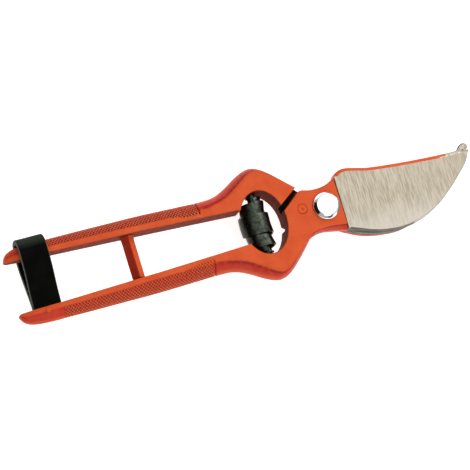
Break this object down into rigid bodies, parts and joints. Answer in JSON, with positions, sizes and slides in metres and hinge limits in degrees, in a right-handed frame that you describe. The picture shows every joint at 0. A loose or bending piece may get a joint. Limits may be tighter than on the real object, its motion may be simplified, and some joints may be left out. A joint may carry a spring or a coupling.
{
  "type": "pruning shears",
  "caption": "Forged by-pass pruning shears: painted levers, curved blade over a hooked counter blade, volute spring between the bows, leather loop holding the handles shut.",
  "frame": {"origin": "centre of the pivot bolt's flat end face, on the pivot axis, where the shears lying on their back touch the table", "axes": "+X along the tool from the pivot towards the blade tips, +Y across it towards the upper handle, +Z along the pivot towards its polished head"},
  "size_m": [0.2171, 0.051, 0.0201],
  "materials": {
    "orange_paint": "semi-gloss enamel over forged steel",
    "blade_steel": "ground across the blade",
    "polished_chrome": "polished",
    "plain_steel": "zinc plated",
    "blued_steel": "blued spring steel",
    "black_leather": "smooth, dyed through"
  },
  "bodies": {
    "front_lever_body": {"front_lever": "orange_paint", "front_blade": "blade_steel", "pivot_bolt": "polished_chrome", "pivot_washer": "plain_steel", "pivot_nut": "plain_steel", "lower_spring_stud": "plain_steel", "volute_spring": "blued_steel", "strap_rivet": "orange_paint"},
    "back_lever_body": {"back_lever": "orange_paint", "counter_blade": "blade_steel", "upper_spring_stud": "plain_steel", "stop_bar": "orange_paint"},
    "strap_body": {"strap": "black_leather"}
  },
  "joints": [
    {"name": "handle_open", "type": "hinge", "parent": "front_lever_body", "child": "back_lever_body", "pos_m": [0, 0, 0.0116], "axis": [0, 0, -1], "range_deg": [0, 30], "deforming": ["volute_spring"]},
    {"name": "strap_swing", "type": "hinge", "parent": "front_lever_body", "child": "strap_body", "pos_m": [-0.1314, -0.0131, 0.0116], "axis": [0, 0, 1], "range_deg": [0, 100], "deforming": ["strap"]}
  ]
}
